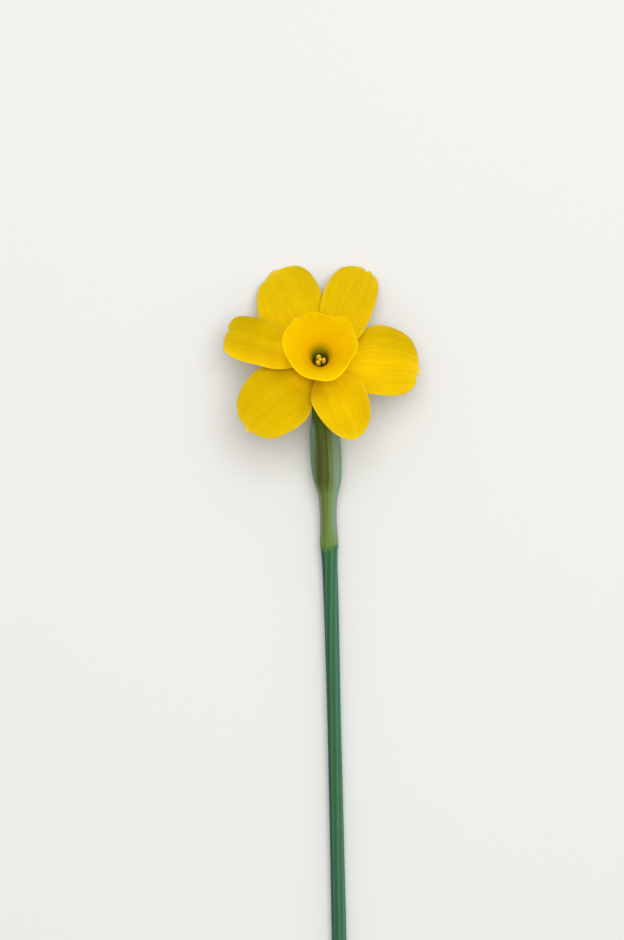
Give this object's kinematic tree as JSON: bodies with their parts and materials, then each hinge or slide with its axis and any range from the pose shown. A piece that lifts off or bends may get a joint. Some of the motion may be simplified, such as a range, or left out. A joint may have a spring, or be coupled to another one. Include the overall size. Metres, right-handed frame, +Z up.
{
  "type": "daffodil flower",
  "caption": "Cut golden daffodil lying on its back: tepals in two layers round a flared, waved cup, on a bent neck, with a papery spathe and a ribbed leafless stem.",
  "frame": {"origin": "middle of the bounding box's bottom face, on the surface that the flower lies on", "axes": "+Y along the stem from the cut end to the flower, +Z up out of the surface, which is about the way the cup opens, and +X to the right as seen from above"},
  "size_m": [0.0658, 0.2578, 0.0322],
  "materials": {
    "tepal": "thin, satin, golden yellow with fine lengthwise veins",
    "cup": "thin, satin, deeper golden yellow, olive in the throat",
    "tube": "thin, satin, yellow green",
    "ovary": "smooth, slightly waxy, green",
    "pedicel": "smooth, olive green",
    "spathe": "thin, papery, half clear, grey green with fine parallel veins",
    "scape": "finely ribbed, waxy bloom, blue green",
    "filament": "smooth, pale yellow",
    "anther": "powdery, deep yellow",
    "style": "smooth, pale yellow green",
    "stigma": "slightly wet, orange yellow"
  },
  "bodies": {
    "root": {"corona": "cup", "outer_tepal_1": "tepal", "outer_tepal_2": "tepal", "outer_tepal_3": "tepal", "inner_tepal_1": "tepal", "inner_tepal_2": "tepal", "inner_tepal_3": "tepal", "style": "style", "stigma": "stigma", "upper_anther_1": "anther", "upper_filament_1": "filament", "upper_anther_2": "anther", "upper_filament_2": "filament", "upper_anther_3": "anther", "upper_filament_3": "filament", "lower_anther_1": "anther", "lower_filament_1": "filament", "lower_anther_2": "anther", "lower_filament_2": "filament", "lower_anther_3": "anther", "lower_filament_3": "filament", "floral_tube": "tube", "ovary": "ovary", "pedicel": "pedicel", "spathe": "spathe", "scape": "scape"}
  },
  "joints": []
}
